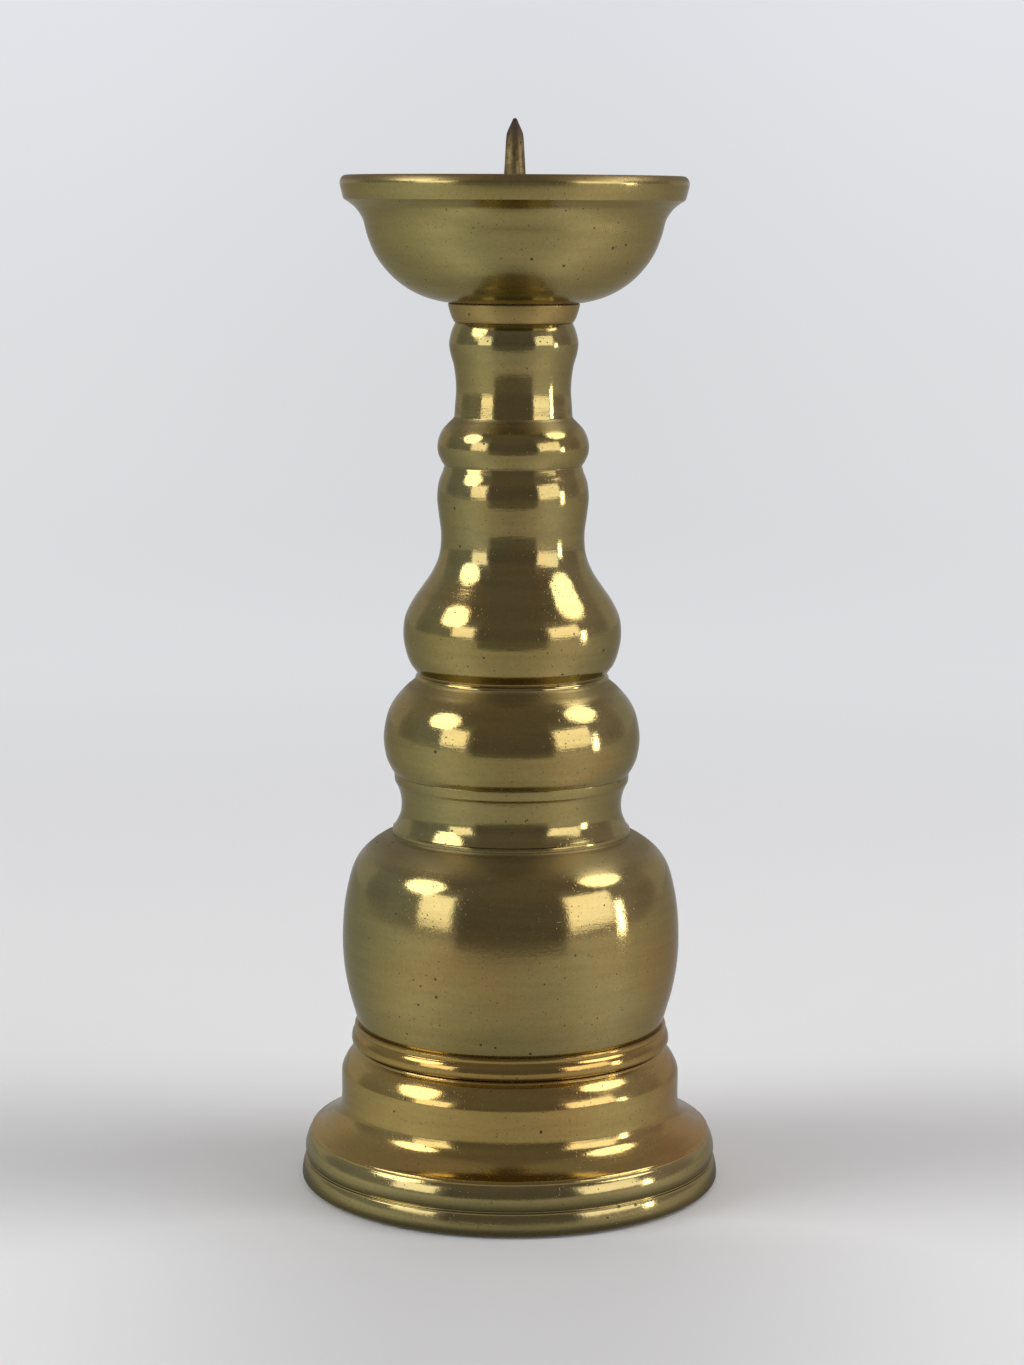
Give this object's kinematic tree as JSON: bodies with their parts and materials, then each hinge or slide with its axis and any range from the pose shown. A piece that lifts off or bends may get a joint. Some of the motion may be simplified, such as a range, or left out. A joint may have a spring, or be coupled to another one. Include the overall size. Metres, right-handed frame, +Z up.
{
  "type": "altar candlestick",
  "caption": "Turned brass altar candlestick: stepped round foot, stacked baluster stem and a deep drip dish with a spike that holds the candle.",
  "frame": {"origin": "middle of the ring that the foot stands on", "axes": "+Z up the stem, from the foot to the point of the spike; X and Y are any two level directions, since every piece is turned about Z"},
  "size_m": [0.0594, 0.0594, 0.15],
  "materials": {
    "turned_brass": "worn polish with fine turning lines and small casting pores",
    "dish_brass": "satin, with fine turning lines and small pores",
    "spike_brass": "dull and pitted, burnt dark at the point",
    "zinc_steel": "zinc plated, dull"
  },
  "bodies": {
    "stand": {"foot": "turned_brass", "bead_ring": "turned_brass", "belly": "turned_brass", "waist_ring": "turned_brass", "globe_knop": "turned_brass", "upper_baluster": "turned_brass", "neck": "turned_brass", "seat_collar": "turned_brass", "tie_rod": "zinc_steel", "clamp_washer": "zinc_steel", "lock_washer": "zinc_steel", "clamp_nut": "zinc_steel"},
    "dish": {"drip_dish": "dish_brass"},
    "spike": {"candle_spike": "spike_brass"}
  },
  "joints": [
    {"name": "dish_rise", "type": "slide", "parent": "stand", "child": "dish", "axis": [0, 0, 1], "range_m": [0, 0.0054]},
    {"name": "spike_turn", "type": "hinge", "parent": "dish", "child": "spike", "pos_m": [0, 0, 0.1273], "axis": [0, 0, 1], "range_deg": [0, 2432]}
  ],
  "couplings": [
    {"joint": "spike_turn", "follows": "dish_rise", "rad_per_m": 7854}
  ]
}
